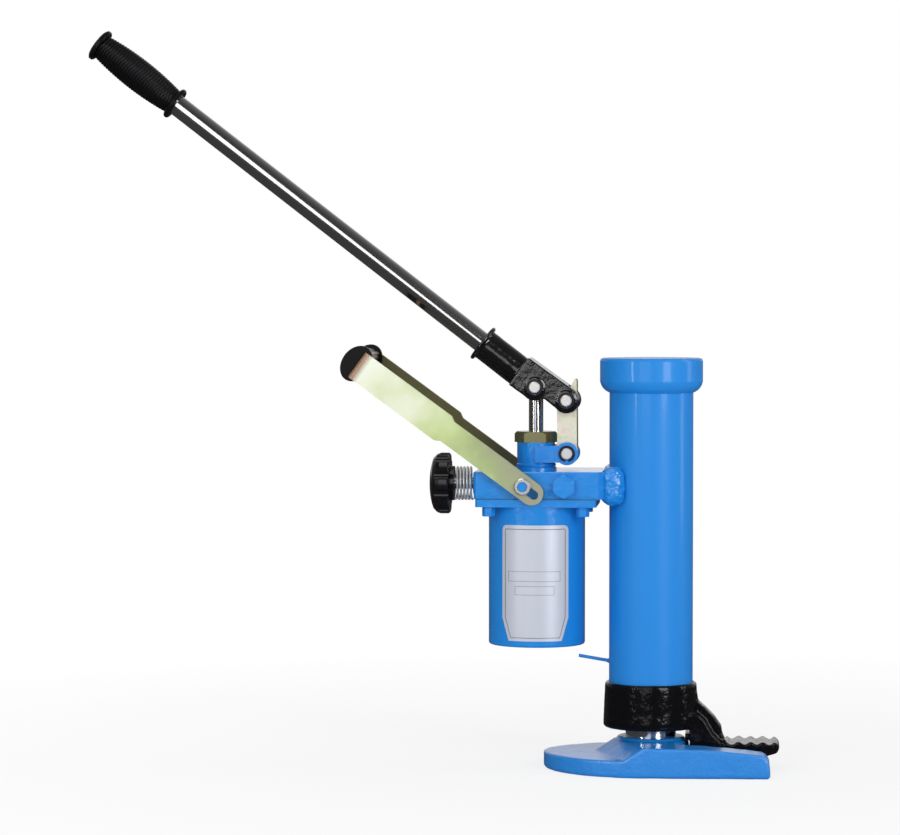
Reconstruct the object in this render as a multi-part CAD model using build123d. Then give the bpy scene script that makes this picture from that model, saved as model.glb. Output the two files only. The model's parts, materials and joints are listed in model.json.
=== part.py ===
from build123d import *
import math
import os

# Hydraulic toe jack. Millimetres, +Z up. The origin is on the ram's axis at the floor,
# +X points along the toe, -X towards the pump, -Y is the side with the hexagon plug.

# Clearances
running = 0.05         # radial play of a shaft or sleeve that turns or slides
side_play = 0.4        # sideways play of a moving plate
seat_gap = 0.3         # distance kept where a moving piece rests on another

# Lift
stroke = 205.0
head_height = 368.0    # closed height of the lifting head
ram_d = 45.0
ram_spigot_d = 36.0

# Base foot
nose_length = 96.0
base_half_width = 75.0
leg_end_x = 107.0
leg_end_half_width = 71.0
far_half_width = 62.0  # the +Y side is a low, narrow plate without a tall leg
far_end_x = 100.0
far_end_half_width = 60.0
nose_height = 15.0
hub_height = 26.5
leg_heights = [(50.0, 25.5), (79.0, 23.2), (98.0, 21.2)]
leg_tip_round = 7.5
boss_d = 60.0
boss_height = 29.0
prow_foot_x = -50.0    # where the V-shaped ramp meets the nose on the centre line
prow_run = 17.0
prow_sweep = 28.5      # how far the ramp runs back from the centre line to the side
base_floor = 8.5       # thickness left under the toe
recess_half_width = 41.0
recess_start_x = 22.0
hub_d = 68.0
socket_floor = 8.0
recess_corner_round = 8.0
foot_chamfer = 2.2
leg_tip_draft = 1.2

# Cylinder
tube_d = 75.0
tube_bore_d = 52.0
gland_bore_d = 55.0
collar_bottom = 37.0
collar_lip = 4.0
head_d = 92.0
head_band = 20.5
head_flare = 10.5
head_rim = 2.5
flare_shape = (0.69, 0.40)    # where the flare's arc bends, as shares of its width and height

# Gland pack, from the lip upwards
wiper_length = 5.0
bush_length = 24.0
seal_length = 8.0
stop_ring_length = 4.0
guide_ring_length = 22.0
circlip_thickness = 2.0
circlip_groove_depth = 1.5
circlip_width = 4.5
circlip_gap = 8.0
guide_ring_holes = 6
guide_ring_hole_d = 3.2
ram_head_d = 36.0
ram_head_chamfer = 1.0

# Toe
collar_top = 78.0
collar_top_d = 82.0
collar_bottom_d = 85.5
collar_round = 3.0
toe_half_width = 23.0
toe_tip_x = 115.0
toe_under = 10.0
toe_crest = 26.8
toe_root = 24.3
toe_teeth = 5
tooth_pitch = 10.4
first_tooth_x = 68.6
toe_heel_x = 35.2
toe_corner_round = 9.0
toe_nose_z = 19.35
toe_neck_top = [(35.2, 50.9), (42.9, 50.0), (48.2, 45.5), (55.4, 33.0), (62.6, 25.6), (66.0, 24.6)]
rib_half_width = 9.0
rib_outline = [
    (35.2, 68.2), (41.4, 68.2), (42.4, 61.0), (48.6, 55.6), (56.7, 47.5),
    (63.0, 38.5), (63.9, 32.2), (66.8, 25.0), (58.0, 18.0), (35.2, 18.0),
]
lip_play = 0.8         # radial gap between the collar's lip and the ram
heel_play = 1.0        # gap between the toe's heel and the boss of the base
heel_height = 5.5
heel_half_width = 18.4
wire_ring_d = 2.4
wire_ring_z = 60.0

# Pump block
block_left = -156.6
block_right = -46.0
block_half_width = 41.0
block_bottom = 243.0
block_top = 267.5
block_neck_half_width = 28.0
gallery_z = 255.0
gallery_d = 5.0
gallery_y = -13.0      # the pressure drillings run beside the pump chamber
relief_drilling_d = 3.0
block_corner_round = 4.0
block_top_chamfer = 1.0
weld_leg = 4.2
weld_column_x = -33.3
weld_column_y = 28.0
weld_column_r = 11.0
weld_rise = 4.0        # how far the bead stands over the block
weld_drop = 5.5        # and under it
weld_round = 9.0

# Reservoir
reservoir_x = -102.5
reservoir_d = 86.5
reservoir_wall = 2.5
reservoir_bottom = 111.0
gasket_thickness = 0.5
flange_thickness = 6.5
flange_left = -155.1
flange_right = -47.5
flange_half_width = 43.5
bolt_spacing_x = 84.0
bolt_spacing_y = 70.0
bolt_d = 6.0
bolt_across_flats = 10.0
bolt_head_height = 8.5
bolt_grip = 12.0

# Pump
pump_x = -103.4
piston_d = 13.0
barrel_d = 34.0
barrel_top = 292.3
barrel_foot = [(1.7, 0.0), (1.7, 2.4), (0.3, 3.0), (0.9, 3.8), (0.9, 5.2), (0.0, 6.0)]
barrel_seal_d = 24.0
pump_seal_bottom = 276.0
pump_seal_length = 5.0
gland_hex_corners = 38.7
gland_hex_height = 9.7
piston_bottom = 275.0
piston_eye_d = 21.0
piston_eye_half_width = 9.0
pump_chamber_bottom = 248.0

# Suction line and delivery valve
suction_tube_d = 9.0
suction_tube_bore_d = 6.0
suction_tube_bottom = 128.0
suction_seat_z = 246.0
suction_throat_d = 3.0
suction_ball_d = 5.0
strainer_d = 22.0
strainer_length = 16.0
strainer_bottom = 118.0
strainer_wall = 1.5
strainer_cap = 2.0
strainer_windows = 6
strainer_window_width = 5.0
delivery_ball_d = 8.0
delivery_wire_d = 1.0
delivery_coil_d = 5.8
delivery_coil_turns = 4

# Pivots of the pump lever, on X and Z
piston_pin_z = 342.0
link_pin_x = -75.2
link_pin_z = 330.2
lug_pin_x = -74.8
lug_pin_z = 282.6
pin_d = 10.0
pin_tail = 2.4         # how far a pin stands out of its circlip
clip_thickness = 1.1
clip_d = 14.6
clip_groove_depth = 0.5
clip_gap = 2.6
pin_chamfer = 0.8
piston_slot_travel = 1.45
piston_slot_play = 0.25

# Fork lugs, link and lever, across Y
lug_inner = 13.0
lug_thickness = 6.0
lug_round_d = 20.5
lug_arm_height = 15.0
link_thickness = 5.5
link_width = 17.6
link_spur_height = 19.3
cheek_inner = 13.0
cheek_thickness = 9.0
cheek_boss_d = 17.0
cheek_boss_height = 1.0
cheek_round_d = 23.0
piston_bump_d = 24.0
lever_angle = 37.75     # slope of the handle at rest
socket_d = 28.0
socket_flare_d = 34.6
socket_length = 42.3
socket_flare_length = 5.0
socket_root_x = -118.8
socket_root_z = 355.8
socket_rim = 1.6
socket_back = 6.0      # how far the socket's body runs into the casting
lever_wall = 6.0
web_thickness = 5.0
web_length = 43.0
lever_top_left = (-108.9, 368.4)
lever_bottom_left = (-126.7, 344.3)
lever_bump_left = (-107.5, 330.6)
lever_bump_right = (-95.0, 331.7)
lever_top_slope = 35.5

# Handle
handle_d = 19.1
handle_bore_d = 15.0
handle_reach = 483.0   # from the socket root to the outer end of the grip
socket_depth = 40.0
grip_length = 91.0
grip_flange_d = 30.4
grip_flange_length = 4.0
grip_neck_d = 22.6
grip_middle_d = 29.2
grip_ribs = 30
grip_rib_depth = 0.45
grip_end_wall = 3.5
grip_edge = 1.0

# Release valve
knob_d = 55.0
knob_lobes = 10
knob_flute_d = 9.0
knob_outer_x = -198.7
knob_inner_x = -180.6
knob_hub_length = 3.8
knob_hub_d = 31.0
knob_dome = 3.2
knob_edge = 1.2
knob_bore_depth = 11.0
release_z = 255.0
spindle_d = 10.0
release_boss_d = 20.0
release_boss_length = 3.0
release_seat_x = -126.0
release_ball_d = 4.4
spindle_tip_chamfer = 2.5
spring_wire_d = 2.0
spring_outer_d = 30.6
spring_turns = 5.0

# Plug of the delivery valve
plug_x = -76.0
plug_z = 254.5
plug_across_flats = 19.0
plug_head_height = 6.0
plug_thread_d = 14.0
plug_thread_length = 12.0
plug_bore_depth = 34.0
hex_chamfer_share = 0.06    # rounding of a hexagon's corners, as a share of its width

# Carrying strap
strap_stud_x = -112.5
strap_stud_z = 254.6
strap_angle = 36.2
strap_inner = 44.5     # from the centre plane to an arm's inner face
strap_thickness = 4.0
strap_slot_travel = 12.6
strap_end_x = -10.0     # centre of the rounded end
strap_reach = 183.0    # from the stud to the outside of the cross-bar
strap_wide = 26.7
strap_narrow = 21.0
strap_step_start = 82.5
strap_step_end = 87.5
stud_d = 7.0
stud_head_d = 7.9
stud_root_depth = 10.0
stud_tip_length = 1.3
bush_barrel_d = 7.8
bush_flange_d = 15.0
bush_flange_thickness = 2.4
bush_chamfer = 0.9
spacer_d = 15.0
grip_oval_long = 34.4
grip_oval_short = 25.8
grip_body_share = 0.8
grip_oval_flange = 4.0
grip_half_length = 42.8
grip_offset = 3.0      # how far the grip sits outside the cross-bar's centre

# Handle rest pin on the tube
rest_pin_d = 3.0
rest_root_z = 95.9
rest_tip_x = -64.7
rest_tip_z = 100.4
rest_root_depth = 3.0
rest_weld_length = 5.0

# Sizes that follow from the ones above
ram_r = ram_d / 2
tube_r = tube_d / 2
bore_r = tube_bore_d / 2
gland_r = gland_bore_d / 2
tube_bottom = collar_bottom + collar_lip
gland_top = tube_bottom + wiper_length + bush_length + seal_length + stop_ring_length
guide_ring_bottom = gland_top + stroke + seat_gap
guide_ring_top = guide_ring_bottom + guide_ring_length
ram_top = guide_ring_top + circlip_thickness + 3.0
tube_top = head_height - head_band - head_flare
gasket_bottom = block_bottom - gasket_thickness
flange_bottom = gasket_bottom - flange_thickness
lug_outer = lug_inner + lug_thickness
cheek_outer = cheek_inner + cheek_thickness
cheek_boss_outer = cheek_outer + cheek_boss_height
link_outer = cheek_inner - side_play
link_inner = link_outer - link_thickness
strap_outer = strap_inner + strap_thickness
handle_direction = (-math.cos(math.radians(lever_angle)), math.sin(math.radians(lever_angle)))


def rod_x(x_low, x_high, y, z, radius):
    """Round bar along X."""
    return Pos((x_low + x_high) / 2, y, z) * Rot(0, 90, 0) * Cylinder(radius, x_high - x_low)


def rod_y(x, y_low, y_high, z, radius):
    """Round bar along Y."""
    return Pos(x, (y_low + y_high) / 2, z) * Rot(90, 0, 0) * Cylinder(radius, y_high - y_low)


def rod_z(x, y, z_low, z_high, radius):
    """Upright round bar."""
    return Pos(x, y, (z_low + z_high) / 2) * Cylinder(radius, z_high - z_low)


def block_between(low, high):
    """Box between two opposite corners."""
    size = [b - a for a, b in zip(low, high)]
    centre = [(a + b) / 2 for a, b in zip(low, high)]
    return Pos(*centre) * Box(*size)


def ring_z(inner_r, outer_r, z_low, z_high):
    """Upright ring on the ram's axis."""
    return rod_z(0, 0, z_low, z_high, outer_r) - rod_z(0, 0, z_low - 1, z_high + 1, inner_r)


def turned(outline):
    """Body of revolution about Z from an outline of radius and height."""
    return revolve(Plane.XZ * make_face(outline), Axis.Z)


def side_plate(face, y_low, y_high):
    """Plate cut to a side-view face and standing between two depths."""
    sketch_plane = Plane(origin=(0, y_high, 0), x_dir=(1, 0, 0), z_dir=(0, -1, 0))
    return extrude(sketch_plane * face, y_high - y_low)


def both_sides(solid):
    """A piece and its mirror image across the centre plane."""
    return solid + mirror(solid, Plane.XZ)


def disc(x, z, radius):
    """Disc at a place of the side view."""
    return Pos(x, z) * Circle(radius)


def circlip(x, z, y_face, side):
    """Open retaining ring in a pin's groove, on the face at y_face; side is -1 or 1."""
    groove_r = pin_d / 2 - clip_groove_depth
    face = disc(x, z, clip_d / 2) - disc(x, z, groove_r)
    face -= Pos(x, z - clip_d / 2) * Rectangle(clip_gap, clip_d)
    edges = sorted((y_face, y_face + side * clip_thickness))
    return side_plate(face, *edges)


def grooved_pin(x, z, y_face):
    """Pivot pin with a circlip groove outside each of the two faces at +-y_face."""
    half_length = y_face + clip_thickness + pin_tail
    pin = chamfer(rod_y(x, -half_length, half_length, z, pin_d / 2).edges(), pin_chamfer)
    for side in (-1, 1):
        edges = sorted((side * y_face, side * (y_face + clip_thickness)))
        groove = rod_y(x, edges[0], edges[1], z, pin_d)
        groove -= rod_y(x, edges[0] - 1, edges[1] + 1, z, pin_d / 2 - clip_groove_depth)
        pin -= groove
    return pin


# Base foot: a casting with a flat rounded nose, a V-shaped ramp up to the hub, and two legs.
def base_outline():
    far_nose = EllipticalCenterArc((0, 0), nose_length, far_half_width, start_angle=90, arc_size=90)
    nose = EllipticalCenterArc((0, 0), nose_length, base_half_width, start_angle=180, arc_size=90)
    legs = Polyline(
        (0, -base_half_width),
        (leg_end_x, -leg_end_half_width),
        (leg_end_x, -recess_half_width),
        (far_end_x, far_end_half_width),
        (0, far_half_width),
    )
    return make_face(Curve() + [far_nose, nose, legs])


def base_side_profile():
    legs_top = Spline((0, hub_height), *leg_heights, tangents=((1, 0), (1, -0.13)))
    last_x, last_z = leg_heights[-1]
    tip_x = leg_end_x - leg_tip_draft
    inset = 0.35 * leg_tip_round
    tip_start = (last_x, last_z)
    tip_end = (tip_x, last_z - leg_tip_round)
    tip = ThreePointArc(tip_start, (tip_x - inset, last_z - inset), tip_end)
    rest = Polyline(
        tip_end,
        (leg_end_x, 0),
        (-2 * nose_length, 0),
        (-2 * nose_length, hub_height),
        (0, hub_height),
    )
    return make_face(Curve() + [legs_top, tip, rest])


def prow_cutter(side):
    """Everything above the nose and in front of one half of the V-shaped ramp."""
    foot = Vector(prow_foot_x, 0, nose_height)
    along = Vector(prow_sweep, side * base_half_width, 0)
    up = Vector(prow_run, 0, hub_height - nose_height)
    outwards = along.cross(up) * -side
    ramp = Plane(origin=foot, x_dir=along, z_dir=outwards)
    size = 4 * nose_length
    half_space = ramp * Pos(0, 0, size / 2) * Box(size, size, size)
    above = block_between((-size, -size, nose_height), (size, size, size))
    return half_space & above


def far_side_cutter():
    """Everything above the low plate of the +Y side, behind a ramp like the prow's."""
    size = 4 * nose_length
    return mirror(prow_cutter(1), Plane.YZ) & block_between((-size, 0, 0), (size, size, size))


def base_foot():
    foot = extrude(base_outline(), 2 * hub_height)
    foot &= extrude(Plane.XZ * base_side_profile(), 2 * base_half_width, both=True)
    foot = chamfer(foot.edges().group_by(Axis.Z)[0], foot_chamfer)
    for side in (-1, 1):
        foot -= prow_cutter(side)
    foot -= far_side_cutter()
    foot += rod_z(0, 0, nose_height, boss_height, boss_d / 2)
    recess_length = leg_end_x
    recess = RectangleRounded(recess_length, 2 * recess_half_width, recess_corner_round)
    recess = Pos(recess_start_x + recess_length / 2, 0) * recess
    recess -= Circle(hub_d / 2)
    foot -= Pos(0, 0, base_floor) * extrude(recess, hub_height)
    foot -= rod_z(0, 0, socket_floor, boss_height + 1, ram_spigot_d / 2)
    return foot


# Ram: a chromed column, screwed into the hub, with a turned-down head for the guide ring.
def ram():
    head_r = ram_head_d / 2
    groove_r = head_r - circlip_groove_depth
    outline = Polyline(
        (0, socket_floor),
        (ram_spigot_d / 2, socket_floor),
        (ram_spigot_d / 2, boss_height),
        (ram_r, boss_height),
        (ram_r, guide_ring_bottom),
        (head_r, guide_ring_bottom),
        (head_r, guide_ring_top + running),
        (groove_r, guide_ring_top + running),
        (groove_r, guide_ring_top + running + circlip_thickness),
        (head_r, guide_ring_top + running + circlip_thickness),
        (head_r, ram_top - ram_head_chamfer),
        (head_r - ram_head_chamfer, ram_top),
        (0, ram_top),
        close=True,
    )
    return turned(outline)


def ram_circlip():
    low = guide_ring_top + running
    groove_r = ram_head_d / 2 - circlip_groove_depth
    ring = ring_z(groove_r, groove_r + circlip_width, low, low + circlip_thickness)
    return ring - block_between((0, -circlip_gap / 2, low - 1), (ram_d, circlip_gap / 2, ram_top))


def ram_guide_ring():
    low = guide_ring_bottom + running
    ring = ring_z(ram_head_d / 2 + running, bore_r - running, low, guide_ring_top)
    passage_r = (ram_head_d / 2 + bore_r) / 2
    for place in PolarLocations(passage_r, guide_ring_holes):
        ring -= place * rod_z(0, 0, low - 1, guide_ring_top + 1, guide_ring_hole_d / 2)
    return ring


# Cylinder: a thick tube with a stepped bore; the oil port opens from the pump block.
def cylinder_tube():
    tube = ring_z(bore_r, tube_r, tube_bottom, tube_top)
    tube -= rod_z(0, 0, tube_bottom - 1, gland_top, gland_r)
    tube -= rod_x(-tube_r - 1, 0, gallery_y, gallery_z, gallery_d / 2)
    return tube - wire_groove()


def wire_groove():
    return Pos(0, 0, wire_ring_z) * Torus(tube_r, wire_ring_d / 2 + running)


def toe_retaining_ring():
    ring = Pos(0, 0, wire_ring_z) * Torus(tube_r, wire_ring_d / 2)
    gap = block_between((-tube_d, -3, wire_ring_z - 5), (0, 3, wire_ring_z + 5))
    return ring - gap


def head_cap():
    head_r = head_d / 2
    flare_top = tube_top + head_flare
    flare = ThreePointArc(
        (tube_r, tube_top),
        (tube_r + flare_shape[0] * (head_r - tube_r), tube_top + flare_shape[1] * head_flare),
        (head_r, flare_top),
    )
    rest = Polyline(
        (head_r, flare_top),
        (head_r, head_height - head_rim),
        (head_r - 0.3 * head_rim, head_height - 0.3 * head_rim),
        (head_r - head_rim, head_height),
        (0, head_height),
        (0, ram_top + seat_gap),
        (bore_r, ram_top + seat_gap),
        (bore_r, tube_top),
        (tube_r, tube_top),
    )
    return turned(Curve() + [flare, rest])


def gland_ring(low, length, play):
    """One ring of the gland pack, with its radial play on the ram."""
    return ring_z(ram_r + play, gland_r, low, low + length)


def wiper_ring():
    return gland_ring(tube_bottom, wiper_length, running)


def guide_bush():
    return gland_ring(tube_bottom + wiper_length, bush_length, running / 2)


def ram_seal():
    return gland_ring(tube_bottom + wiper_length + bush_length, seal_length, running)


def stop_ring():
    return gland_ring(gland_top - stop_ring_length, stop_ring_length, seat_gap)


# Toe casting: a collar round the tube's foot, a ribbed neck and a toe with a wavy top.
def toe_wave():
    """Wavy gripping face from the neck to the tip, as a smooth curve."""
    points = []
    for tooth in range(toe_teeth):
        crest_x = first_tooth_x + tooth * tooth_pitch
        points.append((crest_x, toe_crest))
        points.append((crest_x + tooth_pitch / 2, toe_root))
    points.pop()
    return points


def toe_side_profile():
    wave = toe_wave()
    under_nose = (toe_tip_x - 2.2, toe_nose_z - 2.6)
    nose = Spline(wave[-1], (toe_tip_x, toe_nose_z + 2.5), under_nose)
    top = Spline(*wave)
    bottom = [under_nose, (toe_tip_x - 25, toe_under), (toe_heel_x, toe_under)]
    rest = Polyline(*bottom, *toe_neck_top, wave[0])
    return make_face(Curve() + [top, nose, rest])


def toe_collar():
    bottom_r = collar_bottom_d / 2
    top_r = collar_top_d / 2
    outline = Polyline(
        (tube_r - 1, collar_bottom),
        (bottom_r, collar_bottom),
        (top_r, collar_top),
        (tube_r - 1, collar_top),
        close=True,
    )
    corners = make_face(outline)
    outer = [v for v in corners.vertices() if v.X > tube_r]
    casting = revolve(Plane.XZ * fillet(outer, collar_round), Axis.Z)
    casting += ring_z(ram_r + lip_play, tube_r, collar_bottom, tube_bottom)
    plan = Pos(toe_tip_x / 2, 0) * RectangleRounded(toe_tip_x, 2 * toe_half_width, toe_corner_round)
    toe = extrude(Plane.XZ * toe_side_profile(), toe_half_width, both=True)
    casting += toe & extrude(plan, collar_top)
    rib = Plane.XZ * make_face(Polyline(*rib_outline, close=True))
    casting += extrude(rib, rib_half_width, both=True)
    heel_low = (boss_d / 2 + heel_play, -heel_half_width, hub_height + heel_play)
    heel_high = (toe_heel_x + 1, heel_half_width, hub_height + heel_play + heel_height)
    casting += block_between(heel_low, heel_high)
    casting -= rod_z(0, 0, tube_bottom, collar_top + 1, tube_r)
    return casting - wire_groove()


# Pump block: a steel block welded to the tube, drilled for the valves.
def block_plan():
    neck_x = block_right + (block_half_width - block_neck_half_width)
    half = [
        (block_left, block_half_width),
        (block_right, block_half_width),
        (neck_x, block_neck_half_width),
        (-block_neck_half_width * 0.8, block_neck_half_width),
    ]
    mirrored = [(x, -y) for x, y in reversed(half)]
    return make_face(Polyline(*half, *mirrored, close=True))


def block_prism():
    prism = extrude(Pos(0, 0, block_bottom) * block_plan(), block_top - block_bottom)
    return prism - rod_z(0, 0, block_bottom - 1, block_top + 1, tube_r)


def pump_block():
    block = block_prism()
    left_corners = block.edges().filter_by(Axis.Z).group_by(Axis.X)[0]
    block = fillet(left_corners, block_corner_round)
    neck_start = block_right - 2 * block_top_chamfer
    top_edges = block.edges().group_by(Axis.Z)[-1].filter_by(lambda e: e.center().X < neck_start)
    block = chamfer(top_edges, block_top_chamfer)
    block -= rod_z(pump_x, 0, pump_chamber_bottom, block_top + 1, piston_d / 2 + running)
    for bore in suction_bores() + delivery_bores() + release_bores():
        block -= bore
    for x, y in bolt_places():
        block -= rod_z(x, y, block_bottom - 1, block_bottom + bolt_grip, bolt_d / 2)
    for side in (-1, 1):
        edges = sorted((side * (block_half_width - stud_root_depth), side * (block_half_width + 1)))
        block -= rod_y(strap_stud_x, edges[0], edges[1], strap_stud_z, stud_d / 2)
    block += release_boss()
    return block


def delivery_bores():
    """From the pump chamber through the ball seat into the plug's bore, and on to the tube."""
    seat_y = -block_half_width + plug_bore_depth
    return [
        rod_y(plug_x, -block_half_width - 1, seat_y, plug_z, plug_thread_d / 2),
        rod_y(plug_x, seat_y - 1, gallery_d / 2, plug_z, gallery_d / 2),
        rod_x(pump_x, plug_x, 0, plug_z, gallery_d / 3),
        rod_x(plug_x + 1, -bore_r, gallery_y, gallery_z, gallery_d / 2),
    ]


def release_bores():
    """Spindle bore, drain to the reservoir, and the drillings from the pressure side to the ball seat."""
    drilling_r = relief_drilling_d / 2
    turn_x = release_seat_x + gallery_d
    return [
        rod_x(block_left - 1, release_seat_x, 0, release_z, spindle_d / 2 + running),
        rod_z(release_seat_x - gallery_d, 0, block_bottom - 1, release_z, gallery_d / 2),
        rod_x(release_seat_x - 1, turn_x, 0, release_z, drilling_r),
        rod_y(turn_x, gallery_y - gallery_d / 2, gallery_d / 2, release_z, gallery_d / 2),
        rod_x(turn_x, plug_x - 1, gallery_y, release_z, drilling_r),
    ]


def release_boss():
    boss = rod_x(block_left - release_boss_length, block_left, 0, release_z, release_boss_d / 2)
    return boss - rod_x(block_left - 10, block_left + 1, 0, release_z, spindle_d / 2 + running)


def weld_bead():
    """A thick upright bead on each side of the block's neck, joined over and under the block."""
    low = block_bottom - weld_drop
    high = block_top + weld_rise
    column = rod_z(weld_column_x, -weld_column_y, low, high, weld_column_r)
    bead = both_sides(fillet(column.edges().filter_by(GeomType.CIRCLE), weld_round))
    reach = (-2 * tube_r, -weld_column_y, low)
    band = chamfer(ring_z(tube_r - 1, tube_r + weld_leg, low, high).edges(), weld_rise / 3)
    bead += band & block_between(reach, (0, weld_column_y, high))
    return bead - rod_z(0, 0, low - 1, high + 1, tube_r) - block_prism()


# Reservoir: a deep-drawn cup under a square flange that is bolted up against the block.
def bolt_places():
    places = []
    for x in (-bolt_spacing_x / 2, bolt_spacing_x / 2):
        for y in (-bolt_spacing_y / 2, bolt_spacing_y / 2):
            places.append((reservoir_x + 1 + x, y))
    return places


def flange_sheet(low, high, hole_r):
    """Flange outline between two heights with its opening and bolt holes."""
    centre_x = (flange_left + flange_right) / 2
    plan = Pos(centre_x, 0) * RectangleRounded(flange_right - flange_left, 2 * flange_half_width, 4)
    sheet = extrude(Pos(0, 0, low) * plan, high - low)
    sheet -= rod_z(reservoir_x, 0, low - 1, high + 1, hole_r)
    for x, y in bolt_places():
        sheet -= rod_z(x, y, low - 1, high + 1, bolt_d / 2)
    return sheet


def reservoir_gasket():
    return flange_sheet(gasket_bottom, block_bottom, reservoir_d / 2 - reservoir_wall)


def reservoir_flange():
    return flange_sheet(flange_bottom, gasket_bottom, reservoir_d / 2 - reservoir_wall)


def reservoir_cup():
    outer_r = reservoir_d / 2
    inner_r = outer_r - reservoir_wall
    floor = reservoir_bottom + reservoir_wall
    outline = make_face(
        Polyline(
            (0, reservoir_bottom),
            (outer_r, reservoir_bottom),
            (outer_r, flange_bottom),
            (inner_r, flange_bottom),
            (inner_r, floor),
            (0, floor),
            close=True,
        )
    )
    bottom_corner = outline.vertices().sort_by(lambda v: v.X - v.Y)[-1]
    cup = revolve(Plane.XZ * fillet(bottom_corner, 2.2), Axis.Z)
    return Pos(reservoir_x, 0, 0) * cup


def hex_prism(across_flats, height):
    """Upright hexagon with its corners on X and a rounded-off lower edge."""
    prism = extrude(RegularPolygon(across_flats / 2, 6, major_radius=False), height)
    corner_r = across_flats / math.sqrt(3)
    cone = Pos(0, 0, height / 2) * Cylinder(corner_r, height)
    cone = chamfer(cone.edges().group_by(Axis.Z)[0], hex_chamfer_share * across_flats)
    return prism & cone


def flange_bolts():
    bolts = []
    for x, y in bolt_places():
        head = Pos(x, y, flange_bottom - bolt_head_height) * hex_prism(bolt_across_flats, bolt_head_height)
        bolts.append(head + rod_z(x, y, flange_bottom, block_bottom + bolt_grip - 1, bolt_d / 2))
    return Part() + bolts


# Suction line: tube from the block down into the oil, a strainer and a ball valve.
def suction_bores():
    return [
        rod_z(pump_x, 0, block_bottom - 1, suction_seat_z, suction_tube_d / 2),
        rod_z(pump_x, 0, suction_seat_z - 1, pump_chamber_bottom + 1, suction_throat_d / 2),
    ]


def suction_tube():
    low = suction_tube_bottom
    tube = rod_z(pump_x, 0, low, suction_seat_z, suction_tube_d / 2)
    return tube - rod_z(pump_x, 0, low - 1, suction_seat_z + 1, suction_tube_bore_d / 2)


def suction_strainer():
    top = strainer_bottom + strainer_length
    body = rod_z(pump_x, 0, strainer_bottom, top, strainer_d / 2)
    inner_r = strainer_d / 2 - strainer_wall
    body -= rod_z(pump_x, 0, strainer_bottom + strainer_cap, top - strainer_cap, inner_r)
    body -= rod_z(pump_x, 0, top - strainer_cap - 1, top + 1, suction_tube_d / 2)
    window = Box(4 * strainer_wall, strainer_window_width, strainer_length - 4 * strainer_cap)
    centre = Pos(pump_x, 0, strainer_bottom + strainer_length / 2)
    for place in PolarLocations(strainer_d / 2, strainer_windows):
        body -= centre * place * window
    return body


def ball_seat_height(ball_d, throat_d):
    """Height of a ball's centre over the mouth of the throat it closes."""
    return math.sqrt((ball_d / 2) ** 2 - (throat_d / 2) ** 2) + running


def suction_ball():
    centre_z = pump_chamber_bottom + ball_seat_height(suction_ball_d, suction_throat_d)
    return Pos(pump_x, 0, centre_z) * Sphere(suction_ball_d / 2)


# Delivery valve: ball and spring behind the hexagon plug.
def delivery_ball_y():
    seat_y = -block_half_width + plug_bore_depth
    return seat_y - ball_seat_height(delivery_ball_d, gallery_d)


def delivery_ball():
    return Pos(plug_x, delivery_ball_y(), plug_z) * Sphere(delivery_ball_d / 2)


def coil(radius, wire_r, pitch, turns):
    """Helical wire along Z from z = 0."""
    path = Helix(pitch, pitch * turns, radius)
    section = Plane(origin=path @ 0, z_dir=path % 0) * Circle(wire_r)
    return sweep(section, path=path)


def delivery_spring():
    wire_r = delivery_wire_d / 2
    coil_r = delivery_coil_d / 2
    reach = math.sqrt((delivery_ball_d / 2 + wire_r) ** 2 - coil_r**2)
    start = -block_half_width + plug_thread_length + wire_r + running
    end = delivery_ball_y() - reach - running
    pitch = (end - start) / delivery_coil_turns
    spring = coil(coil_r, wire_r, pitch, delivery_coil_turns)
    return Pos(plug_x, start, plug_z) * Rot(-90, 0, 0) * spring


def hex_plug():
    face_y = -block_half_width
    head = Rot(0, 0, 30) * hex_prism(plug_across_flats, plug_head_height)
    head = Pos(plug_x, face_y - plug_head_height, plug_z) * Rot(-90, 0, 0) * head
    thread = rod_y(plug_x, face_y, face_y + plug_thread_length, plug_z, plug_thread_d / 2)
    return head + thread


# Pump barrel with the fork lugs that carry the link.
def pump_barrel():
    r = barrel_d / 2
    bore_r_lower = piston_d / 2 + running
    outline = Polyline(
        (bore_r_lower, block_top),
        *[(r + out, block_top + up) for out, up in barrel_foot],
        (r, barrel_top),
        (barrel_seal_d / 2, barrel_top),
        (barrel_seal_d / 2, pump_seal_bottom),
        (bore_r_lower, pump_seal_bottom),
        close=True,
    )
    barrel = Pos(pump_x, 0, 0) * turned(outline)
    arm_low = lug_pin_z - lug_arm_height / 2
    arm_length = lug_pin_x - pump_x
    arm = Pos(pump_x + arm_length / 2, lug_pin_z - 0.5) * Rectangle(arm_length, lug_arm_height)
    face = arm + disc(lug_pin_x, lug_pin_z, lug_round_d / 2) - disc(lug_pin_x, lug_pin_z, pin_d / 2)
    lugs = both_sides(side_plate(face, lug_inner, lug_outer))
    lugs -= rod_z(pump_x, 0, arm_low - 5, barrel_top + 5, barrel_d / 2 - 1)
    return barrel + lugs


def pump_seal():
    top = pump_seal_bottom + pump_seal_length
    ring = rod_z(pump_x, 0, pump_seal_bottom, top, barrel_seal_d / 2)
    return ring - rod_z(pump_x, 0, pump_seal_bottom - 1, top + 1, piston_d / 2 + running)


def gland_nut():
    low = pump_seal_bottom + pump_seal_length
    hexagon = mirror(hex_prism(gland_hex_corners * math.sqrt(3) / 2, gland_hex_height), Plane.XY)
    nut = Pos(pump_x, 0, barrel_top + gland_hex_height) * hexagon
    nut += rod_z(pump_x, 0, low, barrel_top, barrel_seal_d / 2)
    return nut - rod_z(pump_x, 0, low - 1, barrel_top + 20, piston_d / 2 + running)


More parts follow.
